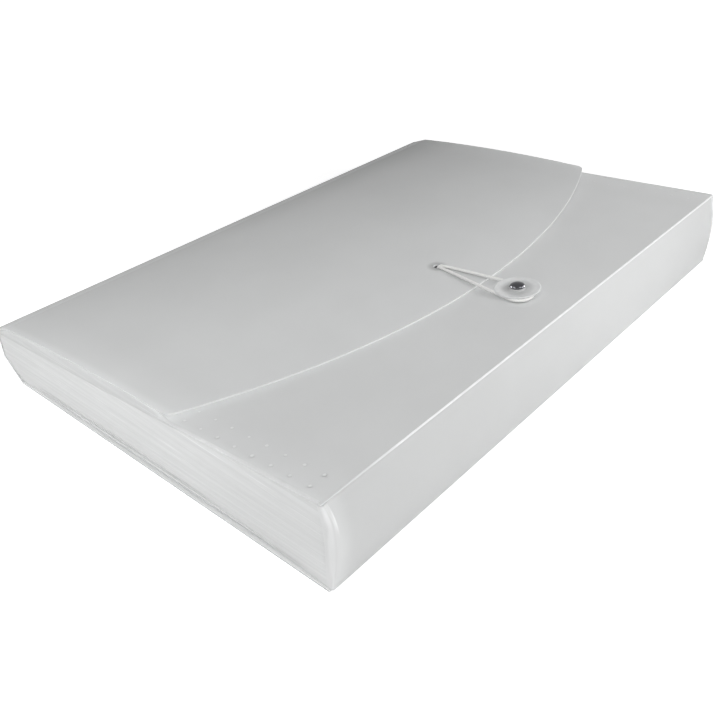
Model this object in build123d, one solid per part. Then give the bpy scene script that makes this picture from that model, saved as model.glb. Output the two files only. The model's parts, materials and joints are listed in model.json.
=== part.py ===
from build123d import *
import math
import os

os.makedirs("parts", exist_ok=True)

# An expanding file of frosted sheet, lying on its back cover with its front up.
# +X runs along the width, +Y from the bottom wall to the spine, +Z up from the table.
# In the sections below a point is (v, z): v is the distance from the bottom wall's outer face.

# Cover sheet
WIDTH = 330.0
DEPTH = 228.0
BOTTOM_HEIGHT = 43.0
MOUTH_HEIGHT = 28.0
COVER_SHEET = 0.8
COVER_CORNER = 8.0
COVER_SET_BACK = 14.0
CREASE_GAP = 0.15

# Spine, folded up from the back cover by way of a sloping strip
SPINE_FOOT = 12.0
SPINE_RISE = 12.0
SPINE_TOP = 28.4

# Flap, crowned over the front cover
FLAP_STRIP = 12.0
FLAP_STRIP_RISE = 4.4
FLAP_TIP = 49.4
FLAP_SIDE_END = 86.5
FLAP_CORNER = 6.0
FLAP_TIP_GAP = 0.35
FLAP_MIDDLE = 130.0
FLAP_MIDDLE_GAP = 4.9

# Pockets and the sheets between them
POCKETS = 13
DIVIDER_SHEET = 0.5
DIVIDER_SET_BACK = 3.0
DIVIDER_FOOT = 1.8
DIVIDER_CORNER = 6.0

# Pleated side films
FILM = 0.2
FILM_CLEAR = 0.12
GUSSET_DEPTH = 22.0
GUSSET_INSET = 0.3
GUSSET_FOOT = 1.3
GUSSET_SET_BACK = 2.0
FOLD_HEIGHT = 0.5

# Weld spots along the side margins of the front cover
SPOT_RADIUS = 1.1
SPOT_HEIGHT = 0.3
SPOT_PITCH = 10.2
SPOT_END_MARGIN = 10.2
SPOT_OUTER_ROW = 5.0
SPOT_INNER_ROW = 12.4

# Button, turned up on a rivet through the front cover
BUTTON_PLACE = 28.4
BUTTON_RADIUS = 11.4
BUTTON_RIM = 1.1
BUTTON_DISH = 0.7
BOSS_RADIUS = 6.5
BOSS_HEIGHT = 2.5
BUTTON_LIFT = 0.15
RIVET_HEAD_RADIUS = 3.65
RIVET_HEAD_HEIGHT = 1.7
RIVET_SHANK_RADIUS = 1.6
RIVET_BORE_RADIUS = 1.1
RIVET_RUNNING_GAP = 0.1
WASHER_RADIUS = 4.0
WASHER_SHEET = 0.5
ROLL_RADIUS = 2.4
ROLL_HEIGHT = 0.5

# Elastic loop from a hole in the flap, round the button's boss
ELASTIC_RADIUS = 0.75
ELASTIC_CLEAR = 0.15
ELASTIC_TURNS = 5
ELASTIC_SIDE = 0.95
HOLE_PLACE = 77.6
HOLE_RADIUS = 2.1
CRIMP_LENGTH = 5.6
CRIMP_WIDTH = 3.8
CRIMP_HEIGHT = 1.8
CRIMP_CORNER = 0.8

# Sizes worked out from the driving ones. The front cover ends short of the spine,
# and the dividers and side films end short of the front cover.
HALF = COVER_SHEET / 2
COVER_LENGTH = DEPTH - COVER_SET_BACK
DIVIDER_LENGTH = COVER_LENGTH - DIVIDER_SET_BACK
GUSSET_LENGTH = COVER_LENGTH - GUSSET_SET_BACK
BOTTOM_CREASE = (HALF, BOTTOM_HEIGHT - HALF)
BACK_CREASE = (DEPTH - SPINE_FOOT, HALF)
CHAMFER_CREASE = (DEPTH - HALF, SPINE_RISE)
SPINE_CREASE = (DEPTH - HALF, SPINE_TOP - HALF)
FLAP_CREASE = (DEPTH - FLAP_STRIP, SPINE_TOP - HALF + FLAP_STRIP_RISE)
COVER_SLOPE = (BOTTOM_HEIGHT - MOUTH_HEIGHT) / (COVER_LENGTH - HALF)
COVER_ANGLE = math.atan(COVER_SLOPE)
HALF_UPRIGHT = HALF / math.cos(COVER_ANGLE)
FLAT_END = HALF + CREASE_GAP


def cover_middle(v):
    """Height of the middle of the front cover's sheet at v."""
    return BOTTOM_CREASE[1] - COVER_SLOPE * (v - HALF)


def cover_top(v):
    """Height of the front cover's upper face at v."""
    return cover_middle(v) + HALF_UPRIGHT


def cover_under(v):
    """Height of the front cover's lower face at v."""
    return cover_middle(v) - HALF_UPRIGHT


def divider_height(number, v):
    """Height of a divider's middle at v, evenly shared between the covers."""
    return COVER_SHEET + (cover_under(v) - COVER_SHEET) * number / POCKETS


def place(x, v, z):
    """A point of the model from its width, its distance from the bottom wall and its height."""
    return Vector(x, v - DEPTH / 2, z)


def along(start, end, distance):
    """The point of a section that lies a distance from start towards end."""
    length = math.dist(start, end)
    return tuple(a + (b - a) * distance / length for a, b in zip(start, end))


def strip(start, end, thickness, width, round_start=False, round_end=False):
    """A flat strip with its middle from start to end, across the whole width."""
    u = [(b - a) / math.dist(start, end) for a, b in zip(start, end)]
    n = (-u[1], u[0])
    half = thickness / 2
    sides = [[(p[0] + n[0] * s, p[1] + n[1] * s) for p in (start, end)] for s in (half, -half)]
    (a, b), (d, c) = sides
    tip = (end[0] + u[0] * half, end[1] + u[1] * half)
    tail = (start[0] - u[0] * half, start[1] - u[1] * half)
    a, b, c, d, tip, tail = (place(-width / 2, *p) for p in (a, b, c, d, tip, tail))
    last = ThreePointArc(b, tip, c) if round_end else Line(b, c)
    first = ThreePointArc(d, tail, a) if round_start else Line(d, a)
    face = make_face([Line(a, b), last, Line(c, d), first])
    return extrude(face, amount=width, dir=(1, 0, 0))


def mouth_corners(sheet, thickness, radius):
    """Rounds the two corners of a sheet at its end nearest the spine."""
    short = [e for e in sheet.edges() if abs(e.length - thickness) < 1e-4]
    return fillet(ShapeList(short).sort_by(Axis.Y)[-2:], radius)


def back_cover():
    end = along(BACK_CREASE, (0, HALF), FLAT_END)
    return strip((HALF, HALF), end, COVER_SHEET, WIDTH, round_start=True)


def bottom_wall():
    top = (HALF, BOTTOM_CREASE[1] - FLAT_END)
    return strip((HALF, COVER_SHEET), top, COVER_SHEET, WIDTH)


def front_cover():
    end = (COVER_LENGTH, cover_middle(COVER_LENGTH))
    sheet = strip(BOTTOM_CREASE, end, COVER_SHEET, WIDTH, round_start=True)
    sheet = mouth_corners(sheet, COVER_SHEET, COVER_CORNER)
    hole = Cylinder(RIVET_SHANK_RADIUS, 6 * COVER_SHEET)
    return sheet - button_place() * hole


def spine_chamfer():
    end = along(CHAMFER_CREASE, BACK_CREASE, FLAT_END)
    return strip(BACK_CREASE, end, COVER_SHEET, WIDTH, round_start=True)


def spine_wall():
    end = (SPINE_CREASE[0], SPINE_CREASE[1] - FLAT_END)
    return strip(CHAMFER_CREASE, end, COVER_SHEET, WIDTH, round_start=True)


def flap_curve():
    """Three points on the middle of the crowned flap, its centre and its radius."""
    tip = (FLAP_TIP, cover_top(FLAP_TIP) + FLAP_TIP_GAP + HALF)
    middle = (FLAP_MIDDLE, cover_top(FLAP_MIDDLE) + FLAP_MIDDLE_GAP + HALF)
    (ax, ay), (bx, by), (cx, cy) = FLAP_CREASE, middle, tip
    d = 2 * (ax * (by - cy) + bx * (cy - ay) + cx * (ay - by))
    a, b, c = ax * ax + ay * ay, bx * bx + by * by, cx * cx + cy * cy
    centre = ((a * (by - cy) + b * (cy - ay) + c * (ay - by)) / d,
              (a * (cx - bx) + b * (ax - cx) + c * (bx - ax)) / d)
    return FLAP_CREASE, middle, tip, centre, math.dist(centre, tip)


def flap_top(v):
    """Height of the flap's upper face at v."""
    *_, centre, radius = flap_curve()
    return centre[1] + math.sqrt((radius + HALF) ** 2 - (v - centre[0]) ** 2)


def flap_under(v):
    """Height of the flap's lower face at v."""
    *_, centre, radius = flap_curve()
    return centre[1] + math.sqrt((radius - HALF) ** 2 - (v - centre[0]) ** 2)


def flap_section():
    """The flap's thickness in one closed outline: its narrow strip, then its crown."""
    fold, middle, tip, centre, radius = flap_curve()
    u = [(b - a) / math.dist(SPINE_CREASE, fold) for a, b in zip(SPINE_CREASE, fold)]
    n = (u[1], -u[0])
    rim = []
    for side in (1, -1):
        out = [along(centre, p, radius + side * HALF) for p in (middle, tip)]
        r = along(centre, fold, radius + side * HALF)
        strip_start = tuple(SPINE_CREASE[i] + side * HALF * n[i] for i in (0, 1))
        rim.append([place(-WIDTH / 2, *p) for p in (strip_start, r, *out)])
    tail = place(-WIDTH / 2, *(SPINE_CREASE[i] - u[i] * HALF for i in (0, 1)))
    (a, b, c, d), (e, f, g, h) = rim
    edges = [Line(a, b), ThreePointArc(b, c, d), Line(d, h), ThreePointArc(h, g, f), Line(f, e)]
    return make_face(edges + [ThreePointArc(e, tail, a)])


def flap_outline():
    """The flap seen from above, with its curved free edge and rounded corners."""
    x, back = WIDTH / 2, DEPTH + COVER_SHEET
    left, right = place(-x, FLAP_SIDE_END, 0), place(x, FLAP_SIDE_END, 0)
    edge = ThreePointArc(left, place(0, FLAP_TIP, 0), right)
    far = [place(x, back, 0), place(-x, back, 0)]
    face = make_face([edge, Line(right, far[0]), Line(far[0], far[1]), Line(far[1], left)])
    return fillet(face.vertices().sort_by(Axis.Y)[:2], FLAP_CORNER)


def flap():
    sheet = extrude(flap_section(), amount=WIDTH, dir=(1, 0, 0))
    sheet = sheet & extrude(flap_outline(), amount=2 * BOTTOM_HEIGHT)
    hole = Cylinder(HOLE_RADIUS, 10 * COVER_SHEET)
    return sheet - Location(place(0, HOLE_PLACE, flap_top(HOLE_PLACE))) * hole


def divider(number):
    foot = (DIVIDER_FOOT, divider_height(number, DIVIDER_FOOT))
    end = (DIVIDER_LENGTH, divider_height(number, DIVIDER_LENGTH))
    width = WIDTH - 2 * (GUSSET_INSET + FILM + FILM_CLEAR)
    return mouth_corners(strip(foot, end, DIVIDER_SHEET, width), DIVIDER_SHEET, DIVIDER_CORNER)


def film_line(v):
    """The pleated film's middle at v, as (inward distance, height) from cover to cover."""
    off = FILM_CLEAR + FILM / 2
    outer, inner = GUSSET_INSET + FILM / 2, GUSSET_DEPTH
    wrap = DIVIDER_SHEET / 2 + off
    line = [(inner, COVER_SHEET + off), (outer, COVER_SHEET + off)]
    levels = [divider_height(i, v) for i in range(POCKETS + 1)]
    for i in range(POCKETS):
        low = COVER_SHEET + off + FILM + FILM_CLEAR if i == 0 else levels[i] + wrap
        high = cover_under(v) - off - FILM - FILM_CLEAR if i == POCKETS - 1 else levels[i + 1] - wrap
        middle = (low + high) / 2
        line += [(outer, low), (inner, middle - FOLD_HEIGHT / 2)]
        line += [(inner, middle + FOLD_HEIGHT / 2), (outer, high)]
    return line + [(outer, cover_under(v) - off), (inner, cover_under(v) - off)]


def film_outline(v, side):
    """The film's closed outline at v, its middle line thickened to both sides."""
    line = film_line(v)
    rims = ([], [])
    for i, p in enumerate(line):
        steps = []
        for a, b in ((line[max(i - 1, 0)], p), (p, line[min(i + 1, len(line) - 1)])):
            if a != b:
                steps.append([(b[k] - a[k]) / math.dist(a, b) for k in (0, 1)])
        first, last = steps[0], steps[-1]
        n = [-(first[1] + last[1]), first[0] + last[0]]
        reach = FILM / 2 / (n[1] * first[0] - n[0] * first[1])
        for rim, s in zip(rims, (reach, -reach)):
            rim.append((p[0] + n[0] * s, p[1] + n[1] * s))
    ring = rims[0] + rims[1][::-1]
    x = WIDTH / 2
    return make_face(Polyline(*(place(side * (x - w), v, z) for w, z in ring), close=True))


def gusset(side):
    ends = [film_outline(v, side) for v in (GUSSET_FOOT, GUSSET_LENGTH)]
    return loft(ends, ruled=True)


def weld_spots(side):
    """Two rows of raised spots where the side film is welded under the front cover."""
    count = int((COVER_LENGTH - 2 * SPOT_END_MARGIN) / SPOT_PITCH) + 1
    standing = (Align.CENTER, Align.CENTER, Align.MIN)
    spot = Cone(SPOT_RADIUS, SPOT_RADIUS / 2, SPOT_HEIGHT, align=standing)
    spots = []
    for row in (SPOT_OUTER_ROW, SPOT_INNER_ROW):
        for i in range(count):
            v = SPOT_END_MARGIN + i * SPOT_PITCH
            at = Location(place(side * (WIDTH / 2 - row), v, cover_top(v)), cover_tilt())
            spots.append(at * spot)
    return Compound(children=spots)


def cover_tilt():
    return (-math.degrees(COVER_ANGLE), 0, 0)


def button_place():
    return Location(place(0, BUTTON_PLACE, cover_top(BUTTON_PLACE)), cover_tilt())


def turned(points):
    """A turned piece from its outline of (radius, height) points."""
    face = make_face(Polyline(*(Vector(r, 0, z) for r, z in points), close=True))
    return revolve(face, Axis.Z)


def button_disc():
    """A dished disc on a boss that the elastic passes under, in one moulding."""
    bore = RIVET_SHANK_RADIUS + RIVET_RUNNING_GAP
    under = BUTTON_LIFT + BOSS_HEIGHT
    seat = under + BUTTON_RIM - BUTTON_DISH / 2
    edge = BUTTON_RIM / 3
    low, high = under + BUTTON_DISH / 2, under + BUTTON_DISH / 2 + BUTTON_RIM
    inner = [(bore, seat), (bore, BUTTON_LIFT), (BOSS_RADIUS, BUTTON_LIFT), (BOSS_RADIUS, under)]
    rim = [(BUTTON_RADIUS - edge, low), (BUTTON_RADIUS, low + edge)]
    rim += [(BUTTON_RADIUS, high - edge), (BUTTON_RADIUS - edge, high)]
    return button_place() * turned(inner + rim + [(BOSS_RADIUS, seat)])


def head_seat():
    """Height of the rivet head's underside over the cover."""
    return BUTTON_LIFT + BOSS_HEIGHT + BUTTON_RIM - BUTTON_DISH / 2 + RIVET_RUNNING_GAP


def rivet():
    """A tubular rivet: domed head, hollow shank and the rolled end under the washer."""
    seat = head_seat()
    end = -COVER_SHEET - WASHER_SHEET
    r, h = RIVET_HEAD_RADIUS, RIVET_HEAD_HEIGHT
    brim = h / 4
    ball = (r * r + (h - brim) ** 2) / (2 * (h - brim))
    shoulder = (r / 2, 0, seat + h - ball + math.sqrt(ball * ball - r * r / 4))
    dome = ThreePointArc((r, 0, seat + brim), shoulder, (0, 0, seat + h))
    head = make_face([Line((0, 0, seat + h), (0, 0, seat)), Line((0, 0, seat), (r, 0, seat)),
                      Line((r, 0, seat), (r, 0, seat + brim)), dome])
    s, b = RIVET_SHANK_RADIUS, RIVET_BORE_RADIUS
    tube = turned([(b, end - ROLL_HEIGHT), (ROLL_RADIUS, end - ROLL_HEIGHT), (ROLL_RADIUS, end),
                   (s, end), (s, seat), (b, seat)])
    return button_place() * (revolve(head, Axis.Z) + tube)


def rivet_washer():
    top = -COVER_SHEET
    s, r = RIVET_SHANK_RADIUS, WASHER_RADIUS
    return button_place() * turned([(s, top - WASHER_SHEET), (r, top - WASHER_SHEET), (r, top), (s, top)])


def elastic_route():
    """The loop's corners and their radii: up through the flap's hole, round the boss and back."""
    turn_radius = BOSS_RADIUS + ELASTIC_RADIUS + ELASTIC_CLEAR
    start = flap_under(HOLE_PLACE) - ELASTIC_CLEAR
    lie = flap_top(HOLE_PLACE) + ELASTIC_RADIUS + ELASTIC_CLEAR
    rise = (lie - start) * 0.56
    run = lie - start - rise
    side = ELASTIC_SIDE
    up = [(side, HOLE_PLACE, start), (side, HOLE_PLACE, start + rise), (side, HOLE_PLACE - run, lie)]
    reach = math.hypot(side, HOLE_PLACE - run - BUTTON_PLACE)
    toward = math.atan2(HOLE_PLACE - run - BUTTON_PLACE, side)
    first = toward - math.acos(turn_radius / reach)
    step = (math.pi + 2 * first) / ELASTIC_TURNS
    bow = []
    for i in range(ELASTIC_TURNS):
        angle = first - (i + 0.5) * step
        x = turn_radius / math.cos(step / 2) * math.cos(angle)
        v = BUTTON_PLACE + turn_radius / math.cos(step / 2) * math.sin(angle)
        bow.append((x, v, cover_top(v) + BUTTON_LIFT + BOSS_HEIGHT / 2))
    points = [place(*p) for p in up + bow + [(-x, v, z) for x, v, z in up[::-1]]]
    radii = []
    for before, here, after in zip(points, points[1:], points[2:]):
        turn = (here - before).get_angle(after - here)
        shorter = min((here - before).length, (after - here).length)
        radii.append(0.45 * shorter / math.tan(math.radians(turn) / 2))
    return points, radii


def elastic_loop():
    points, radii = elastic_route()
    path = FilletPolyline(*points, radius=radii)
    section = Plane(origin=path @ 0, z_dir=path % 0) * Circle(ELASTIC_RADIUS)
    tube = sweep(section, path=path)
    print("elastic length", round(path.length, 2), "radii", [round(r, 2) for r in radii])
    print("elastic volume over section times length", round(tube.volume / (section.area * path.length), 4))
    return tube


def elastic_crimp():
    """The flat metal crimp that joins the elastic's two ends under the flap."""
    top = flap_under(HOLE_PLACE) - ELASTIC_CLEAR
    box = Box(CRIMP_LENGTH, CRIMP_WIDTH, CRIMP_HEIGHT, align=(Align.CENTER, Align.CENTER, Align.MAX))
    box = fillet(box.edges().filter_by(Axis.Z), CRIMP_CORNER)
    return Location(place(0, HOLE_PLACE, top)) * box


pieces = {
    "back_cover": back_cover(),
    "bottom_wall": bottom_wall(),
    "front_cover": front_cover(),
    "spine_chamfer": spine_chamfer(),
    "spine_wall": spine_wall(),
    "flap": flap(),
    "left_gusset": gusset(-1),
    "right_gusset": gusset(1),
    "left_weld_spots": weld_spots(-1),
    "right_weld_spots": weld_spots(1),
    "button_disc": button_disc(),
    "button_rivet": rivet(),
    "rivet_washer": rivet_washer(),
    "elastic_loop": elastic_loop(),
    "elastic_crimp": elastic_crimp(),
}
for number in range(1, POCKETS):
    pieces[f"divider_{number:02d}"] = divider(number)

for name, shape in pieces.items():
    export_step(shape, f"parts/{name}.step")

creases = {"bottom": BOTTOM_CREASE, "back": BACK_CREASE, "chamfer": CHAMFER_CREASE, "spine": SPINE_CREASE}
for name, (v, z) in creases.items():
    print(name, "crease at y, z:", round(v - DEPTH / 2, 4), round(z, 4))
seat = place(0, BUTTON_PLACE, cover_top(BUTTON_PLACE))
print("button at", [round(c, 4) for c in seat], "tilted by degrees", round(math.degrees(COVER_ANGLE), 5))
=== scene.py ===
# %% [markdown]
# # An expanding file of frosted sheet
# The file is one scored sheet of frosted polypropylene that wraps twelve thin dividers, with a
# pleated film down each side. The solid parts are already made at their real size and place, so
# this lesson loads them first and then dresses them. A maker could also model every panel again,
# but loading them keeps each hinge and each hole exactly where it has to be.

# %% Load the finished solids
import json
import math
import random

import bpy
from mathutils import Matrix, Vector


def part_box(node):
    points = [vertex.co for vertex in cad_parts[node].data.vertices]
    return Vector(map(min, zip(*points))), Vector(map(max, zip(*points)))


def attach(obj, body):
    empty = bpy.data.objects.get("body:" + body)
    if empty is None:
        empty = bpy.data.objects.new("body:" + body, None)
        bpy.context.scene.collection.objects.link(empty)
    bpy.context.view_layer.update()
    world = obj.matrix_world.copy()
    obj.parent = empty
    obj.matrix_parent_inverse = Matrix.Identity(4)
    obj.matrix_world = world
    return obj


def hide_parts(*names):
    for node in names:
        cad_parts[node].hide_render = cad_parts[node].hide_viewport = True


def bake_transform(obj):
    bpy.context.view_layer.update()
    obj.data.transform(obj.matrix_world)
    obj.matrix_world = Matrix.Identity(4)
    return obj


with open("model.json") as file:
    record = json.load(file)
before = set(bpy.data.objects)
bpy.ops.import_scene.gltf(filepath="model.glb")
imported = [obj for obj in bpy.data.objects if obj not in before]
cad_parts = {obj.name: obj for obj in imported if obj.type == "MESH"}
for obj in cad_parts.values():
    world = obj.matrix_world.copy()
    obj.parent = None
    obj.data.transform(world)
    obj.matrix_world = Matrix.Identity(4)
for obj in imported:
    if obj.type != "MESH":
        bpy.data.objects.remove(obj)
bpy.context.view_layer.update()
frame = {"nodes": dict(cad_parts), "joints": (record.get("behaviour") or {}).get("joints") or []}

nodes = frame["nodes"]
print("solids loaded:", len(nodes))

# %% [markdown]
# ## Sizes
# Every size comes from the loaded solids, so a change there carries through. The creases are the
# hinge lines of the cover, and the slope of the front cover is the tilt of the button's pivot.

# %% Read the sizes from the solids
MM = 0.001
joints = {joint["name"]: joint for joint in frame["joints"]}


def hinge(name):
    """Y and Z of a hinge line, in metres."""
    return joints[name]["pos_m"][1], joints[name]["pos_m"][2]


BOTTOM_CREASE = hinge("pocket_01")
BACK_CREASE = hinge("spine_foot_crease")
CHAMFER_CREASE = hinge("spine_crease")
SPINE_CREASE = hinge("flap_crease")
BUTTON = Vector(joints["button_spin"]["pos_m"])
BUTTON_AXIS = Vector(joints["button_spin"]["axis"]).normalized()
COVER_SLOPE = BUTTON_AXIS.y / BUTTON_AXIS.z

back_low, back_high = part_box("back_cover")
HALF_WIDTH = back_high.x
FRONT_FACE = back_low.y
SHEET = back_high.z
MOUTH_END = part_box("front_cover")[1].y
SPINE_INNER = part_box("spine_wall")[0].y
POCKETS = sum(name.startswith("pocket_") for name in joints)
print("half width", HALF_WIDTH, "sheet", round(SHEET, 5), "pockets", POCKETS)


def cover_under(y):
    """Height of the front cover's lower face."""
    return BOTTOM_CREASE[1] - COVER_SLOPE * (y - BOTTOM_CREASE[0]) - SHEET / 2


def cover_top(y):
    """Height of the front cover's upper face."""
    return cover_under(y) + SHEET * math.sqrt(1 + COVER_SLOPE ** 2)


# %% [markdown]
# ## Camera
# The photograph looks down on the near corner. The camera's place and angle were worked out by
# matching the file's corners, creases, rivet and hole to where they lie in the picture. A small
# shift of the lens stands for the crop of the picture, which keeps the perspective right.

# %% Place the camera
IMAGE_SIDE = 713
FOCAL_PIXELS = 859.3
PICTURE_CENTRE = (396.2, 322.0)
CAMERA_PLACE = Vector((-0.3105, -0.2785, 0.2483))
CAMERA_TURN = math.radians(-48.83)
CAMERA_RISE = math.radians(31.42)
CAMERA_ROLL = math.radians(-2.12)
SENSOR = 36.0

camera_data = bpy.data.cameras.new("camera")
camera = bpy.data.objects.new("camera", camera_data)
bpy.context.scene.collection.objects.link(camera)
bpy.context.scene.camera = camera
camera_data.sensor_width = SENSOR
camera_data.lens = FOCAL_PIXELS / IMAGE_SIDE * SENSOR
camera_data.shift_x = (IMAGE_SIDE / 2 - PICTURE_CENTRE[0]) / IMAGE_SIDE
camera_data.shift_y = (PICTURE_CENTRE[1] - IMAGE_SIDE / 2) / IMAGE_SIDE
camera_data.clip_start = 0.01
backwards = Vector((
    math.sin(CAMERA_TURN) * math.cos(CAMERA_RISE),
    -math.cos(CAMERA_TURN) * math.cos(CAMERA_RISE),
    math.sin(CAMERA_RISE),
))
level_right = Vector((0, 0, 1)).cross(backwards).normalized()
level_up = backwards.cross(level_right)
right = math.cos(CAMERA_ROLL) * level_right + math.sin(CAMERA_ROLL) * level_up
up = backwards.cross(right)
camera.matrix_world = Matrix.Translation(CAMERA_PLACE) @ Matrix((right, up, backwards)).transposed().to_4x4()
print("lens", round(camera_data.lens, 2), "shift", round(camera_data.shift_x, 3), round(camera_data.shift_y, 3))

# %% [markdown]
# ## Colours and nodes
# Colours are written as the hex values that a colour picker shows, and one function turns them to
# the linear values that the renderer works with. One more function adds a shader node with its
# settings and its links, so each material below reads as a short list.

# %% Two helpers for materials


def linear(hex_colour):
    """A hex colour as linear red, green, blue and alpha."""
    parts = [int(hex_colour[i:i + 2], 16) / 255 for i in (1, 3, 5)]
    return tuple(c / 12.92 if c <= 0.04045 else ((c + 0.055) / 1.055) ** 2.4 for c in parts) + (1.0,)


def add_node(tree, kind, inputs=None, **settings):
    """Adds a node. Inputs maps each socket to a value or to another node's output."""
    node = tree.nodes.new("ShaderNode" + kind)
    for name, value in settings.items():
        setattr(node, name, value)
    for socket, value in (inputs or {}).items():
        if isinstance(value, bpy.types.NodeSocket):
            tree.links.new(value, node.inputs[socket])
        else:
            node.inputs[socket].default_value = value
    return node


def new_material(name):
    """An empty material with a Principled shader joined to its output."""
    material = bpy.data.materials.new(name)
    material.use_nodes = True
    tree = material.node_tree
    return material, tree, tree.nodes["Principled BSDF"]


# %% [markdown]
# ## Frosted polypropylene sheet
# The cover is extruded polypropylene sheet with a matt roller grain. It is milky, so light enters
# it and leaves again a few millimetres away, and a cut edge gathers that light and looks brighter
# than the faces. The grain is a fine bump, the milkiness is light scattered below the surface, and
# the bright edge comes from the surface's own normal: where it doesn't face the way that the sheet
# does, it is an edge. What lies behind a milky sheet tints it: the side margins are paler, because
# the welded film lies behind them, and the crimp under the flap shows through as a faint smudge,
# partly painted shade. The rest is painted light and shade: the back cover, the bottom wall and the
# last few millimetres towards each side edge are painted paler, the bottom wall has a painted
# highlight at its near end and painted shade at its far end, and the flap has painted shade towards
# the spine, over the open mouth. Base colours and soft masks on the object's own coordinates give
# all of these.

# %% Make the sheet material
SHEET_COLOUR = "#C6C7C7"
# Painted light: the bottom wall is the same sheet, painted a little paler than the cover.
WALL_PAINTED_LIGHT_COLOUR = "#CACBCB"
# Painted light: the back cover is the same sheet, painted much paler to lift its strip in the film's shade.
BACK_COVER_PAINTED_LIGHT_COLOUR = "#DBDCDC"
DIVIDER_COLOUR = "#CACBCB"
EDGE_COLOUR = "#E2E3E3"
MARGIN_LIFT = 1.07
EDGE_PAINTED_LIGHT = 1.1
NEAR_CORNER_PAINTED_HIGHLIGHT = 1.18
FAR_END_PAINTED_SHADE = 0.88
SIDEWAYS_EDGE_TONE = 0.8
MOUTH_PAINTED_SHADE_TONES = ((0.34, -54, 196, 0.965, 0.68), (0.12, 78, 153, 1.0, 0.51))
CRIMP_AND_PAINTED_SHADE_TONE = 0.68
PP_IOR = 1.49
GRAIN = 0.6 * MM
MARGIN_INNER = HALF_WIDTH - 24 * MM
CRIMP_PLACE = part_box("elastic_crimp")


def grain_bump(tree, vector, size, strength, distance):
    """A fine matt grain. The real one is near a tenth of a millimetre, too fine to show."""
    noise = add_node(tree, "TexNoise", {"Vector": vector, "Scale": 1 / size, "Detail": 2.0})
    return add_node(tree, "Bump", {"Height": noise.outputs["Fac"], "Strength": strength, "Distance": distance})


def soft_mask(tree, value, start, end, at_start, at_end):
    """A number that goes smoothly from one tone to another between two places."""
    return add_node(tree, "MapRange", {"Value": value, "From Min": start, "From Max": end, "To Min": at_start,
                                       "To Max": at_end}, interpolation_type="SMOOTHSTEP").outputs[0]


def times(tree, colour, tone):
    """A colour multiplied by a tone."""
    return add_node(tree, "Mix", {"Factor": 1.0, 6: colour, 7: tone}, data_type="RGBA",
                    blend_type="MULTIPLY").outputs[2]


def milky(shader, roughness, weight, reach):
    """Settings that all the polypropylene shares: matt, weakly glossy, scattering light inside."""
    shader.inputs["Roughness"].default_value = roughness
    shader.inputs["IOR"].default_value = PP_IOR
    shader.inputs["Specular IOR Level"].default_value = 0.3
    shader.inputs["Subsurface Weight"].default_value = weight
    shader.inputs["Subsurface Scale"].default_value = reach
    shader.inputs["Subsurface Radius"].default_value = (1.0, 1.0, 1.0)


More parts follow.
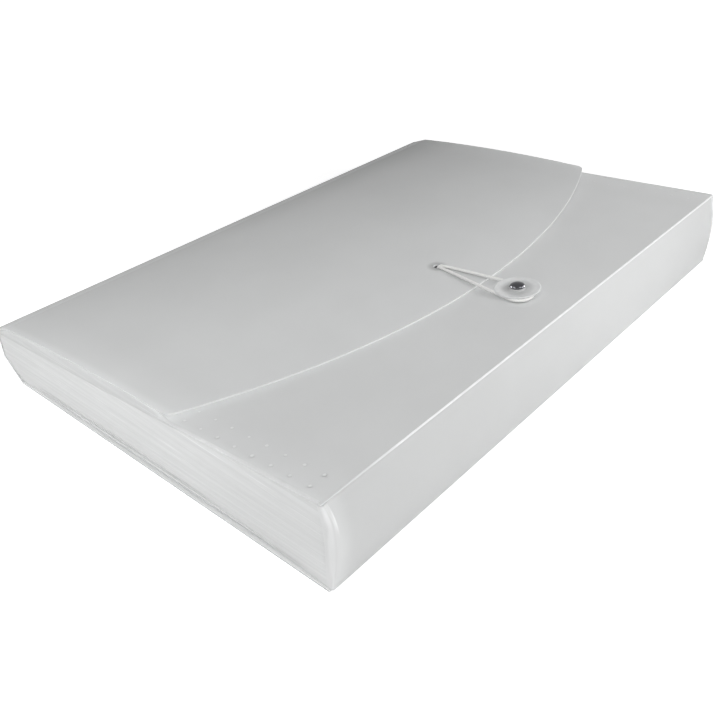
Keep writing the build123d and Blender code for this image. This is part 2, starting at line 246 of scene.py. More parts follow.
def frosted_sheet(name, facing, face_colour, margins=True, over_mouth=False):
    """Milky matt sheet. Facing is the direction that the panel's flat faces look in."""
    material, tree, shader = new_material(name)
    place = add_node(tree, "TexCoord").outputs
    parts = add_node(tree, "SeparateXYZ", {"Vector": place["Object"]}).outputs
    cloud = add_node(tree, "TexNoise", {"Vector": place["Object"], "Scale": 1 / (45 * MM), "Detail": 2.0})
    face = times(tree, linear(face_colour), soft_mask(tree, cloud.outputs["Fac"], 0.3, 0.7, 0.985, 1.015))
    if margins:
        side = add_node(tree, "Math", {0: parts["X"]}, operation="ABSOLUTE").outputs[0]
        face = times(tree, face, soft_mask(tree, side, MARGIN_INNER, HALF_WIDTH, 1.0, MARGIN_LIFT))
        # Painted light: the last 5 mm towards each side edge is painted paler, to lift the strip there that lies in
        # shade beside the film.
        face = times(tree, face, soft_mask(tree, side, HALF_WIDTH - 5 * MM, HALF_WIDTH, 1.0, EDGE_PAINTED_LIGHT))
    else:
        # Painted highlight: the wall is painted paler by its near corner, where the rounded corner catches the light.
        face = times(tree, face, soft_mask(tree, parts["X"], -HALF_WIDTH, -HALF_WIDTH + 12 * MM, NEAR_CORNER_PAINTED_HIGHLIGHT, 1.0))
        # Painted shade: the wall is painted darker towards its far end.
        face = times(tree, face, soft_mask(tree, parts["X"], 60 * MM, HALF_WIDTH, 1.0, FAR_END_PAINTED_SHADE))
    if over_mouth:
        # Painted shade: each tone changes along a slanting direction, between two places in mm, so the flap greys
        # towards the spine, over the open mouth.
        for slant, start, end, at_start, at_end in MOUTH_PAINTED_SHADE_TONES:
            far = add_node(tree, "VectorMath", {0: place["Object"], 1: (slant, 1, 0)}, operation="DOT_PRODUCT")
            face = times(tree, face, soft_mask(tree, far.outputs["Value"], start * MM, end * MM, at_start, at_end))
        middle = (CRIMP_PLACE[0] + CRIMP_PLACE[1]) / 2
        away = add_node(tree, "VectorMath", {0: place["Object"], 1: middle}, operation="DISTANCE")
        # Partly the crimp seen through the sheet and partly painted shade: the flap is darker round the crimp, which
        # lies in shade under it.
        face = times(tree, face, soft_mask(tree, away.outputs["Value"], 3 * MM, 6.5 * MM, CRIMP_AND_PAINTED_SHADE_TONE, 1.0))
    turned = add_node(tree, "VectorMath", {0: place["Normal"], 1: facing}, operation="DOT_PRODUCT")
    flat = add_node(tree, "Math", {0: turned.outputs["Value"]}, operation="ABSOLUTE").outputs[0]
    cut = add_node(tree, "MapRange", {"Value": flat, "From Min": 0.75, "From Max": 0.4}).outputs[0]
    sideways = add_node(tree, "VectorMath", {0: place["Normal"], 1: (1, 0, 0)}, operation="DOT_PRODUCT")
    sideways = add_node(tree, "Math", {0: sideways.outputs["Value"]}, operation="ABSOLUTE").outputs[0]
    edge = times(tree, linear(EDGE_COLOUR), soft_mask(tree, sideways, 0.75, 0.95, 1.0, SIDEWAYS_EDGE_TONE))
    colour = add_node(tree, "Mix", {"Factor": cut, 6: face, 7: edge}, data_type="RGBA")
    bump = grain_bump(tree, place["Object"], GRAIN, 0.25, 0.02 * MM)
    tree.links.new(colour.outputs[2], shader.inputs["Base Color"])
    tree.links.new(bump.outputs["Normal"], shader.inputs["Normal"])
    milky(shader, 0.46, 0.6, 2 * MM)
    return material


sheet_flat = frosted_sheet("frosted_pp_sheet_flat", (0, 0, 1), SHEET_COLOUR)
# The back cover's paler colour is painted light.
sheet_under = frosted_sheet("frosted_pp_sheet_under_painted_light", (0, 0, 1), BACK_COVER_PAINTED_LIGHT_COLOUR)
sheet_flap = frosted_sheet("frosted_pp_sheet_painted_shade_over_mouth", (0, 0, 1), SHEET_COLOUR, over_mouth=True)
# The wall's paler colour and its near-corner and far-end tones are painted light and shade.
sheet_upright = frosted_sheet("frosted_pp_sheet_upright", (0, 1, 0), WALL_PAINTED_LIGHT_COLOUR, margins=False)
sheet_sloping = frosted_sheet("frosted_pp_sheet_sloping", (0, -math.sqrt(0.5), math.sqrt(0.5)), SHEET_COLOUR)
divider_sheet = frosted_sheet("frosted_pp_divider_sheet", (0, 0, 1), DIVIDER_COLOUR)
print("sheet grain in mm:", GRAIN / MM)

# %% [markdown]
# ## Pleated film, creases and welds
# The side film is the same plastic, blown very thin. It is paler and glossier, and the machine that
# folds it leaves faint streaks along the pleats, so its noise is stretched along the file. Its tone
# has painted shade towards the near end and under the flap's side edge. Where it is gathered round
# an edge, its tone is painted light and shade by the way it faces: lightest on the edge itself, and
# darker where it faces the wall or straight sideways. A crease is stretched plastic that has turned
# white, as when a ruler is bent. A weld spot is melted through, so it is smoother and paler than the
# sheet round it.

# %% Make the film, crease and weld materials
FILM_COLOURS = ("#D7D8D8", "#DFE0E0")
STREAK_COLOUR = "#EBECEC"
GATHERED_COLOUR = "#EAEBEB"
NEAR_END_PAINTED_SHADE = 0.93
UNDER_FLAP_PAINTED_SHADE = 0.86
NEAR_CORNER_CREASE_COLOUR = "#D0D1D1"


def pleated_film(name, shade=1.0):
    """Streaked film. Shade is a painted shade: its tone where it lies under the flap's side edge, in the flap's
    shadow.
    """
    material, tree, shader = new_material(name)
    place = add_node(tree, "TexCoord").outputs
    drawn_out = add_node(tree, "Mapping", {"Vector": place["Object"], "Scale": (0.35, 0.014, 1.0)}).outputs[0]
    streaks = add_node(tree, "TexNoise", {"Vector": drawn_out, "Scale": 1 / (1.6 * MM), "Detail": 3.0})
    tone = add_node(tree, "MapRange", {"Value": streaks.outputs["Fac"], "From Min": 0.3, "From Max": 0.7},
                    interpolation_type="SMOOTHSTEP").outputs[0]
    colour = add_node(tree, "Mix", {"Factor": tone, 6: linear(FILM_COLOURS[0]), 7: linear(FILM_COLOURS[1])},
                      data_type="RGBA").outputs[2]
    fine = add_node(tree, "TexNoise", {"Vector": drawn_out, "Scale": 1 / (0.5 * MM), "Detail": 2.0})
    bright = add_node(tree, "MapRange", {"Value": fine.outputs["Fac"], "From Min": 0.62, "From Max": 0.74}).outputs[0]
    lit = add_node(tree, "Mix", {"Factor": bright, 6: colour, 7: linear(STREAK_COLOUR)}, data_type="RGBA").outputs[2]
    back = add_node(tree, "SeparateXYZ", {"Vector": place["Object"]}).outputs["Y"]
    # Painted shade: the film is painted darker towards the near end, by the bottom wall.
    lit = times(tree, lit, soft_mask(tree, back, -100 * MM, -40 * MM, NEAR_END_PAINTED_SHADE, 1.0))
    if shade < 1:
        # Painted shade where the film lies under the flap's side edge.
        lit = times(tree, lit, soft_mask(tree, back, -38 * MM, -26 * MM, 1.0, shade))
    bump = add_node(tree, "Bump", {"Height": streaks.outputs["Fac"], "Strength": 0.2, "Distance": 0.1 * MM})
    tree.links.new(lit, shader.inputs["Base Color"])
    tree.links.new(bump.outputs["Normal"], shader.inputs["Normal"])
    milky(shader, 0.4, 0.0, 1 * MM)
    return material


def gathered_film():
    """Film that is gathered round the near edge. Its tone is painted light and shade by the way it faces: lightest on
    the edge itself, darker where it faces the wall or straight sideways.
    """
    material, tree, shader = new_material("frosted_pp_gathered_film")
    normal = add_node(tree, "TexCoord").outputs["Normal"]
    sideways = add_node(tree, "VectorMath", {0: normal, 1: (1, 0, 0)}, operation="DOT_PRODUCT")
    sideways = add_node(tree, "Math", {0: sideways.outputs["Value"]}, operation="ABSOLUTE").outputs[0]
    # Painted light and shade by facing: darker where the film faces the wall, and again where it faces straight
    # sideways.
    colour = times(tree, linear(GATHERED_COLOUR), soft_mask(tree, sideways, 0.1, 0.6, 0.8, 1.0))
    colour = times(tree, colour, soft_mask(tree, sideways, 0.75, 1.0, 1.0, 0.82))
    tree.links.new(colour, shader.inputs["Base Color"])
    milky(shader, 0.4, 0.0, 1 * MM)
    return material


def whitened_plastic(name, colour, roughness, fades=False):
    """Plastic that a fold or a weld has turned paler. With fades, a crease goes greyer towards the near corner."""
    material, tree, shader = new_material(name)
    place = add_node(tree, "TexCoord").outputs
    spots = add_node(tree, "TexNoise", {"Vector": place["Object"], "Scale": 1 / (6 * MM), "Detail": 2.0})
    uneven = times(tree, linear(colour), soft_mask(tree, spots.outputs["Fac"], 0.3, 0.7, 0.93, 1.03))
    if fades:
        across = add_node(tree, "SeparateXYZ", {"Vector": place["Object"]}).outputs["X"]
        shown = soft_mask(tree, across, -HALF_WIDTH + 8 * MM, -HALF_WIDTH + 50 * MM, 0.0, 1.0)
        uneven = add_node(tree, "Mix", {"Factor": shown, 6: linear(NEAR_CORNER_CREASE_COLOUR), 7: uneven},
                          data_type="RGBA").outputs[2]
    bump = grain_bump(tree, place["Object"], GRAIN, 0.15, 0.02 * MM)
    tree.links.new(uneven, shader.inputs["Base Color"])
    tree.links.new(bump.outputs["Normal"], shader.inputs["Normal"])
    milky(shader, roughness, 0.3, 1 * MM)
    return material


film = pleated_film("frosted_pp_pleated_film")
film_shaded = pleated_film("frosted_pp_film_under_flap", UNDER_FLAP_PAINTED_SHADE)
film_gathered = gathered_film()
crease_white = whitened_plastic("stress_whitened_crease", "#EDEEEE", 0.4, fades=True)
crease_soft = whitened_plastic("scored_crease", "#C3C4C4", 0.42)
weld = whitened_plastic("melted_weld_spot", "#E4E5E5", 0.22)

# %% [markdown]
# ## Button, metal and elastic
# The button is moulded natural polypropylene: satin, milky and paler where it is thin, and its
# greyer middle is partly painted shade under the disc, round the boss. The rivet is steel with a
# nickel plate, polished on the dome; its dark colour is a painted reflection of dark surroundings,
# and the same dark metal on the crimp is painted shade. The elastic is a rubber core in a white
# braid, which shows as crossing threads that follow the cord, so its pattern reads the cord's own
# coordinates. The darker tone between the threads is painted shade.

# %% Make the button, metal and elastic materials


def moulded_button():
    """Natural moulding: greyer over the boss and paler in the thin disc. The greyer middle is partly its thickness and
    partly painted shade under the disc round the boss.
    """
    material, tree, shader = new_material("moulded_natural_pp")
    place = add_node(tree, "TexCoord").outputs
    swirl = add_node(tree, "TexNoise", {"Vector": place["Object"], "Scale": 1 / (5 * MM), "Detail": 2.0,
                                        "Distortion": 0.6})
    away = add_node(tree, "VectorMath", {0: place["Object"], 1: BUTTON + 3.5 * MM * BUTTON_AXIS}, operation="DISTANCE")
    # Partly painted shade: the greyer middle also stands for the shade under the disc round the boss.
    thin = soft_mask(tree, away.outputs["Value"], 6 * MM, 9 * MM, 0.0, 1.0)
    tone = add_node(tree, "Mix", {"Factor": thin, 6: linear("#B4B5B5"), 7: linear("#CBCCCC")},
                    data_type="RGBA").outputs[2]
    tone = times(tree, tone, soft_mask(tree, swirl.outputs["Fac"], 0.3, 0.7, 0.96, 1.03))
    bump = grain_bump(tree, place["Object"], 0.4 * MM, 0.12, 0.01 * MM)
    tree.links.new(tone, shader.inputs["Base Color"])
    tree.links.new(bump.outputs["Normal"], shader.inputs["Normal"])
    milky(shader, 0.3, 0.6, 1.5 * MM)
    return material


def plated_metal(name, colour, roughness):
    """Plated steel with faint turning marks and small differences in polish."""
    material, tree, shader = new_material(name)
    place = add_node(tree, "TexCoord").outputs
    marks = add_node(tree, "TexNoise", {"Vector": place["Object"], "Scale": 1 / (0.5 * MM), "Detail": 4.0})
    polish = add_node(tree, "MapRange", {"Value": marks.outputs["Fac"], "To Min": roughness * 0.75,
                                         "To Max": roughness * 1.3}).outputs[0]
    bump = add_node(tree, "Bump", {"Height": marks.outputs["Fac"], "Strength": 0.05, "Distance": 0.01 * MM})
    tree.links.new(polish, shader.inputs["Roughness"])
    tree.links.new(bump.outputs["Normal"], shader.inputs["Normal"])
    shader.inputs["Base Color"].default_value = linear(colour)
    shader.inputs["Metallic"].default_value = 1.0
    return material


THREAD = 0.35 * MM
CORD_DIAMETER = 1.5 * MM


def braided_elastic():
    material, tree, shader = new_material("white_braided_elastic")
    along = add_node(tree, "UVMap", uv_map="UVMap").outputs["UV"]
    threads = []
    for slant in (1, -1):
        turned = add_node(tree, "Mapping", {"Vector": along, "Rotation": (0, 0, slant * math.radians(52))}).outputs[0]
        wave = add_node(tree, "TexWave", {"Vector": turned, "Scale": MM / THREAD * math.pi / 10}, wave_profile="SIN")
        threads.append(wave.outputs["Fac"])
    braid = add_node(tree, "Math", {0: threads[0], 1: threads[1]}, operation="MAXIMUM").outputs[0]
    # Painted shade: the darker tone between the threads is painted shade; the pale tone is the white thread.
    colour = add_node(tree, "Mix", {"Factor": braid, 6: linear("#B0B0AE"), 7: linear("#F0F0EE")},
                      data_type="RGBA").outputs[2]
    bump = add_node(tree, "Bump", {"Height": braid, "Strength": 0.6, "Distance": 0.08 * MM})
    tree.links.new(colour, shader.inputs["Base Color"])
    tree.links.new(bump.outputs["Normal"], shader.inputs["Normal"])
    shader.inputs["Roughness"].default_value = 0.75
    shader.inputs["Sheen Weight"].default_value = 0.3
    return material


button_plastic = moulded_button()
# Painted reflection and painted shade: the dark base colour stands for the dark surroundings that the polished rivet
# reflects, and on the crimp for the shade under the flap.
nickel = plated_metal("nickel_plate_painted_dark", "#48484B", 0.14)
bright_steel = plated_metal("zinc_plated_steel", "#B9BABC", 0.3)
elastic_white = braided_elastic()

# %% [markdown]
# ## Dress the loaded solids
# Flat panels, dividers and metal parts already have their true shape, so they only get a finish.
# Each panel takes the sheet material that knows which way it faces. Lamp light that falls on the
# thin flap goes through it and reaches the cover below, so the real file has hardly a shadow under
# the flap's edge. Leaving the flap out of the lamps' shadows gives that look.

# %% Give the loaded solids their finish
FINISHES = {
    sheet_flat: ["front_cover"],
    sheet_under: ["back_cover"],
    sheet_flap: ["flap"],
    sheet_upright: ["spine_wall"],
    sheet_sloping: ["spine_chamfer"],
    divider_sheet: [name for name in nodes if name.startswith("divider_")],
    # The crimp's dark metal is painted shade: it lies in the flap's shade, which the flap doesn't cast here.
    nickel: ["elastic_crimp"],
    bright_steel: ["rivet_washer"],
}
for material, names in FINISHES.items():
    for name in names:
        mesh = nodes[name].data
        mesh.materials.clear()
        mesh.materials.append(material)
nodes["flap"].visible_shadow = False
print("panels dressed:", sum(len(names) for names in FINISHES.values()))

# %% [markdown]
# ## Helpers for modelling
# Operators act on what is selected, and the loaded solids arrive selected, so each step clears the
# selection first. A sheet that is bent by a rule starts as a grid, whose points are then moved: one
# number of each point says how far along the sheet it lies, and the other how far across.

# %% Modelling helpers


def deselect():
    bpy.ops.object.select_all(action="DESELECT")


def finish_piece(piece, material, body, replaced=()):
    """Gives a finished piece its material, hangs it on the body that carries it, and hides the loaded parts that it
    takes the place of.
    """
    piece.data.materials.clear()
    piece.data.materials.append(material)
    if body:
        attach(piece, body)
    if replaced:
        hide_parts(*replaced)
    return piece


def bent_sheet(name, columns, rows, bend, thickness):
    """A grid whose points go where bend(across, along) says, given a thickness centred on it."""
    deselect()
    bpy.ops.mesh.primitive_grid_add(x_subdivisions=columns, y_subdivisions=rows, size=1)
    piece = bpy.context.object
    piece.name = piece.data.name = name
    for vertex in piece.data.vertices:
        vertex.co = bend(vertex.co.x + 0.5, vertex.co.y + 0.5)
    solid = piece.modifiers.new("thickness", "SOLIDIFY")
    solid.thickness = thickness
    solid.offset = 0
    bpy.ops.object.modifier_apply(modifier=solid.name)
    bpy.ops.object.mode_set(mode="EDIT")
    bpy.ops.mesh.select_all(action="SELECT")
    bpy.ops.mesh.normals_make_consistent(inside=False)
    bpy.ops.object.mode_set(mode="OBJECT")
    bpy.ops.object.shade_smooth_by_angle(angle=math.radians(40))
    return piece


# %% [markdown]
# ## Bottom wall
# The bottom wall is a flat panel on paper, but on the real file the pleats press it outwards. It
# swells by nearly 3 mm, and by about 5 mm at the near corner, where the gathered film pushes
# hardest. Its ends stop a little short of the cover's edge and curl back to meet the film. A grid
# with a smooth rule gives that in one piece.

# %% Model the bottom wall
WALL_SWELL = 2.6 * MM
FOOT_SHARE = 0.4
CORNER_SWELL = 3.3 * MM
CORNER_REACH = 20 * MM
CURL_WIDTH = 5 * MM
CURL_DEPTH = 0.3 * MM
WALL_END = HALF_WIDTH - 1.2 * MM
WALL_FOOT = SHEET * 0.75
WALL_TOP = BOTTOM_CREASE[1] - SHEET * 0.4


def wall_face(x, z):
    """Y of the bottom wall's outer face."""
    rise = min(max((z - WALL_FOOT) / (WALL_TOP - WALL_FOOT), 0), 1)
    swell = max(math.sin(math.pi * rise) ** (0.5 + 0.6 * rise), FOOT_SHARE * (1 - rise) ** 4)
    extra = CORNER_SWELL * math.exp(-(x + HALF_WIDTH) / CORNER_REACH) * math.sin(math.pi * rise ** 2) ** 0.7
    curl = max(abs(x) - (HALF_WIDTH - CURL_WIDTH), 0) / CURL_WIDTH
    return FRONT_FACE - WALL_SWELL * swell - extra + CURL_DEPTH * curl ** 2


def wall_point(across, along):
    side = 2 * across - 1
    x = WALL_END * math.copysign(1 - (1 - abs(side)) ** 1.6, side)
    z = WALL_FOOT + (WALL_TOP - WALL_FOOT) * (1 - math.cos(math.pi * along)) / 2
    return Vector((x, wall_face(x, z) + SHEET / 2, z))


bottom_wall = bent_sheet("bottom_wall_panel", 96, 24, wall_point, SHEET)
finish_piece(bottom_wall, sheet_upright, "back", ["bottom_wall"])
print("bottom wall reaches y =", round(min(v.co.y for v in bottom_wall.data.vertices), 5))

# %% [markdown]
# ## Creases
# A living hinge is a groove pressed into the sheet, and the fold stretches its outer skin white.
# Each crease is a slim bar along its hinge line, so it closes the gap between two panels and stays
# put when they turn. A bar starts as a cylinder, its ends are rounded with a bevel, and it is
# squeezed a little, because a pressed groove isn't round.

# %% Model the creases
CREASE_RADIUS = 0.48 * MM


def crease(name, line, body, material, squeeze):
    """A slim bar along a hinge line. Squeeze flattens it in height."""
    deselect()
    bpy.ops.mesh.primitive_cylinder_add(vertices=24, radius=CREASE_RADIUS, depth=2 * HALF_WIDTH - 0.3 * MM,
                                        location=(0, *line), rotation=(0, math.pi / 2, 0))
    piece = bpy.context.object
    piece.name = piece.data.name = name
    bpy.ops.object.mode_set(mode="EDIT")
    bpy.ops.mesh.select_all(action="SELECT")
    bpy.ops.transform.resize(value=(1, 1, squeeze), center_override=(0, *line))
    bpy.ops.object.mode_set(mode="OBJECT")
    bpy.ops.object.transform_apply(location=True, rotation=True, scale=True)
    round_ends = piece.modifiers.new("round_ends", "BEVEL")
    round_ends.width = 0.25 * MM
    round_ends.segments = 2
    round_ends.limit_method = "ANGLE"
    round_ends.angle_limit = math.radians(60)
    bpy.ops.object.modifier_apply(modifier=round_ends.name)
    bpy.ops.object.shade_smooth_by_angle(angle=math.radians(50))
    return finish_piece(piece, material, body)


crease("bottom_crease", BOTTOM_CREASE, "back", crease_white, 0.92)
crease("back_crease", BACK_CREASE, "back", crease_soft, 0.66)
crease("chamfer_crease", CHAMFER_CREASE, "spine_foot", crease_soft, 0.92)
crease("spine_crease", SPINE_CREASE, "spine", crease_soft, 0.92)

# %% [markdown]
# ## Pleated side films
# The film is welded to the edge of every divider and folds inwards between them. From outside it
# shows as a stack of soft ridges, one round each divider's edge, with a hairline between them. The
# stack swells past the cover's edge in its upper half and draws in below, where a strip of the back
# cover shows, and it rolls round to meet the end of the bottom wall. A narrow strip of gathered film
# goes over that edge and bunches to a small knot near its top. Each ridge is a bent sheet that stays
# with its divider. Each fold between two ridges is two walls, which reach from one divider to the
# next in the closed file.

# %% Rules for the shape of the film
FILM = 0.1 * MM
FOLD_DEPTH = 22 * MM
RIDGE_DEPTH = 0.26 * MM
HAIRLINE = 0.05 * MM
CORNER_ROLL = 4.5 * MM
CORNER_SHARE = 0.25
SIDE_SWELL = 3.0 * MM
EDGE_SET_IN = 0.4 * MM
WALL_GAP = 0.1 * MM
MOUTH_GAP = 0.2 * MM


def ease(share):
    """A smooth step from 0 to 1."""
    share = min(max(share, 0), 1)
    return share * share * (3 - 2 * share)


def sheet_height(number, y):
    """Height of a sheet of the stack: 0 is the back cover, the last one is the front cover."""
    return SHEET + (cover_under(y) - SHEET) * number / POCKETS


def film_edge(rise, y):
    """How far out the film reaches at a height from 0 to 1 of the stack."""
    along = min(max((y - FRONT_FACE) / (MOUTH_END - FRONT_FACE), 0), 1)
    swell = SIDE_SWELL * (1 - 0.95 * ease(along)) * math.sin(math.pi * rise ** 1.4)
    inset = (0.3 + 2.2 * math.sin(math.pi * along)) * MM * (1 - rise) ** 6
    return HALF_WIDTH - EDGE_SET_IN + swell - inset


def film_mouth(rise):
    """Y of the film's other end, which follows the sloping foot of the spine."""
    height = SHEET + (cover_under(BACK_CREASE[0]) - SHEET) * rise
    return min(SPINE_INNER - MOUTH_GAP, height + BACK_CREASE[0] - BACK_CREASE[1] - SHEET)


def film_place(side, rise, along):
    """Y and outer X of the film at a share of its length, from the bottom wall to the mouth."""
    end = wall_face(side * WALL_END, WALL_FOOT + (WALL_TOP - WALL_FOOT) * rise) + WALL_GAP
    turn = min(along / CORNER_SHARE, 1) * math.pi / 2
    straight = max(along - CORNER_SHARE, 0) / (1 - CORNER_SHARE)
    y = end + CORNER_ROLL * (1 - math.cos(turn)) + (film_mouth(rise) - end - CORNER_ROLL) * straight
    edge = film_edge(rise, y)
    return y, edge - (edge - WALL_END - WALL_GAP) * (1 - math.sin(turn))


# %% Model the ridges and the folds between them
BODIES = ["back"] + [f"divider_{i:02d}" for i in range(1, POCKETS)] + ["front"]
GROOVE_RUN_IN = 14 * MM
CORNER_FILM_SHARE = 1.3 * CORNER_SHARE
CORNER_FILM_DEPTH = 0.5 * MM
STRIP_WIDTH = 2.0 * MM
STRIP_ON_WALL = 0.3
STRIP_TURN = 0.75
STRIP_LIFT = 0.02 * MM
KNOT_PLACE, KNOT_SIZE, KNOT_LIFT = 0.87, 0.1, 1.1 * MM
ROLL_START = 1.5 * MM
ROLL_CLEAR = 0.7 * MM
ROLL_RUN_IN = 14 * MM
ROLL_LOWEST = 0.12 * MM
FLAP_CORNER = min(v.co.y for v in nodes["flap"].data.vertices if abs(v.co.x) > HALF_WIDTH - 2 * MM)


def ridge_depth(number, y):
    """How deep the groove beside a ridge is. Packing has set the lower pleats more sharply."""
    rise = number / POCKETS
    along = (y - FRONT_FACE) / (MOUTH_END - FRONT_FACE)
    sharp = (1 - rise) ** 1.2 * math.exp(-((along - 0.38) / 0.3) ** 2)
    return RIDGE_DEPTH * (0.2 + 0.8 * sharp) * ease((y - FRONT_FACE) / GROOVE_RUN_IN)


def ridge_rule(side, number):
    low = 0.0 if number == 0 else -1.0
    high = 0.0 if number == POCKETS else 1.0

    def bend(across, along):
        share = low + (high - low) * across
        y, x = film_place(side, (number + share / 2) / POCKETS, along)
        half = (cover_under(y) - SHEET) / POCKETS / 2 - HAIRLINE / 2
        groove = ridge_depth(number, y) * (1 - math.cos(math.pi * share)) / 2
        return Vector((side * (x - groove), y, sheet_height(number, y) + half * share))
    return bend


def wall_rule(side, pocket, upper):
    gap = HAIRLINE if upper else -HAIRLINE

    def bend(across, along):
        y, x = film_place(side, (pocket - 0.5) / POCKETS, along)
        outer = x - RIDGE_DEPTH - FILM
        inner = HALF_WIDTH - FOLD_DEPTH
        reach = outer + (inner - outer) * across
        middle = (sheet_height(pocket - 1, y) + sheet_height(pocket, y)) / 2
        behind_wall = wall_face(side * min(reach, WALL_END), middle) + SHEET + 0.4 * MM
        return Vector((side * reach, max(y, behind_wall), middle + gap * (1 - across)))
    return bend


def corner_rule(side):
    """The film's roll at the wall's end, a little inside the ridges. It shows when these draw back."""
    def bend(across, along):
        y, x = film_place(side, across, along * CORNER_FILM_SHARE)
        return Vector((side * (x - CORNER_FILM_DEPTH * ease(along * 6)), y, SHEET + (cover_under(y) - SHEET) * across))
    return bend


def strip_rule(side):
    """The gathered film that goes round the near edge, from the wall's face on to the side."""
    def bend(across, along):
        knot = math.exp(-((across - KNOT_PLACE) / KNOT_SIZE) ** 2) * math.sin(math.pi * along)
        lift = (0.04 * MM + KNOT_LIFT * knot) * ease(8 * along) * ease(5 - 5 * along) + STRIP_LIFT
        height = SHEET + (cover_under(FRONT_FACE) - SHEET) * across
        if along < STRIP_ON_WALL:
            x = WALL_END - STRIP_WIDTH * (1 - along / STRIP_ON_WALL)
            return Vector((side * x, wall_face(side * x, height) - FILM / 2 - lift, height))
        share = (along - STRIP_ON_WALL) / (1 - STRIP_ON_WALL) * STRIP_TURN
        y, x = film_place(side, across, share * CORNER_SHARE)
        turn = share * math.pi / 2
        closer = WALL_GAP + FILM / 2 + lift
        return Vector((side * (x + lift * math.sin(turn)), y - closer * math.cos(turn),
                       SHEET + (cover_under(y) - SHEET) * across))
    return bend


def flap_gap(side, y):
    """Height of the space between the front cover and the flap over it, at the cover's edge."""
    hit, point, *_ = nodes["flap"].ray_cast(Vector((side * (HALF_WIDTH - 2 * MM), y, 0)), Vector((0, 0, 1)))
    return point.z - cover_top(y) if hit else 0.0


def roll_rule(side):
    """The film where it comes up over the cover's edge. Under the flap it billows into the gap."""
    def bend(across, along):
        y = FRONT_FACE + ROLL_START + (film_mouth(1) - FRONT_FACE - ROLL_START) * along
        height = max((flap_gap(side, y) - ROLL_CLEAR) * ease((y - FLAP_CORNER) / ROLL_RUN_IN), ROLL_LOWEST)
        outer, width = HALF_WIDTH + 0.2 * MM, 1.5 * MM + 0.8 * height
        if across < 0.25:
            low = cover_under(y) - 0.5 * MM
            return Vector((side * (outer - 0.3 * MM * (1 - 4 * across)), y, low + (cover_top(y) - low) * 4 * across))
        turn = (across - 0.25) / 0.75 * math.pi
        return Vector((side * (outer - width * (1 - math.cos(turn)) / 2), y,
                       cover_top(y) + 0.05 * MM + height * math.sin(turn)))
    return bend


def film_piece(name, columns, rows, bend, material, body):
    """A bent sheet of film. Its name starts with the side whose gusset it stands for."""
    side_word = name.split("_")[0]
    return finish_piece(bent_sheet(name, columns, rows, bend, FILM), material, body,
                        [f"{side_word}_gusset"])


for side, word in ((-1, "left"), (1, "right")):
    film_piece(f"{word}_edge_roll", 20, 60, roll_rule(side), film_shaded, "front")
    film_piece(f"{word}_corner_film", 20, 16, corner_rule(side), film, "back")
    film_piece(f"{word}_corner_wrap", 24, 24, strip_rule(side), film_gathered, "back")
    for number, body in enumerate(BODIES):
        film_piece(f"{word}_ridge_{number:02d}", 8, 48, ridge_rule(side, number), film, body)
    for pocket in range(1, POCKETS + 1):
        for upper in (False, True):
            name = f"{word}_fold_{pocket:02d}_{'upper' if upper else 'lower'}"
            fold = film_piece(name, 5, 24, wall_rule(side, pocket, upper), film, None)
            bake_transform(fold)
print("film pieces on each side:", POCKETS + 4 + 2 * POCKETS)

# %% [markdown]
# ## Weld spots
# The film is welded under the front cover with two rows of hot pins, and each leaves a low, smooth
# bump. One bump is half a ball, cut with bisect and flattened, and the rest are copies of it with
# small changes in size, because no two welds melt alike.

# %% Model the weld spots
SPOT_RADIUS = 0.8 * MM
SPOT_HEIGHT = 0.06 * MM
SPOT_PITCH = 10.2 * MM
SPOT_END = 10.2 * MM
SPOT_ROWS = (5.0 * MM, 12.4 * MM)
cover_tilt = Vector((0, 0, 1)).rotation_difference(BUTTON_AXIS).to_matrix().to_4x4()
welder = random.Random(5)


def one_spot(place, size):
    """Adds one low bump on the front cover."""
    deselect()
    bpy.ops.mesh.primitive_uv_sphere_add(segments=12, ring_count=8, radius=SPOT_RADIUS * size)
    spot = bpy.context.object
    bpy.ops.object.mode_set(mode="EDIT")
    bpy.ops.mesh.select_all(action="SELECT")
    bpy.ops.mesh.bisect(plane_co=(0, 0, 0), plane_no=(0, 0, 1), clear_inner=True, use_fill=True)
    bpy.ops.mesh.select_all(action="SELECT")
    bpy.ops.transform.resize(value=(1, 1, SPOT_HEIGHT / SPOT_RADIUS))
    bpy.ops.object.mode_set(mode="OBJECT")
    spot.data.transform(Matrix.Translation(place) @ cover_tilt)
    return spot


for side, word in ((-1, "left"), (1, "right")):
    spots = []
    count = int((MOUTH_END - FRONT_FACE - 2 * SPOT_END) / SPOT_PITCH) + 1
    for row in SPOT_ROWS:
        for i in range(count):
            y = FRONT_FACE + SPOT_END + i * SPOT_PITCH
            place = Vector((side * (HALF_WIDTH - row), y, cover_top(y) - 0.02 * MM))
            spots.append(one_spot(place, welder.uniform(0.7, 1.05)))
    deselect()
    for spot in spots:
        spot.select_set(True)
    bpy.context.view_layer.objects.active = spots[0]
    bpy.ops.object.join()
    piece = bpy.context.object
    piece.name = piece.data.name = f"{word}_weld_bumps"
    bpy.ops.object.shade_smooth()
    finish_piece(piece, weld, "front", [f"{word}_weld_spots"])
print("weld spots on each side:", count * len(SPOT_ROWS))

# %% [markdown]
# ## Elastic loop
# The closure is one white elastic cord, 1.5 mm thick. It comes up through the hole in the flap,
# runs tight to the button, goes round the button's boss and comes back, 125 mm in all. The route is
# a short list of points, and a smooth curve through their middle gives the line. The cord itself is
# a ring of twelve points carried along that line, which gives the braid its own coordinates.

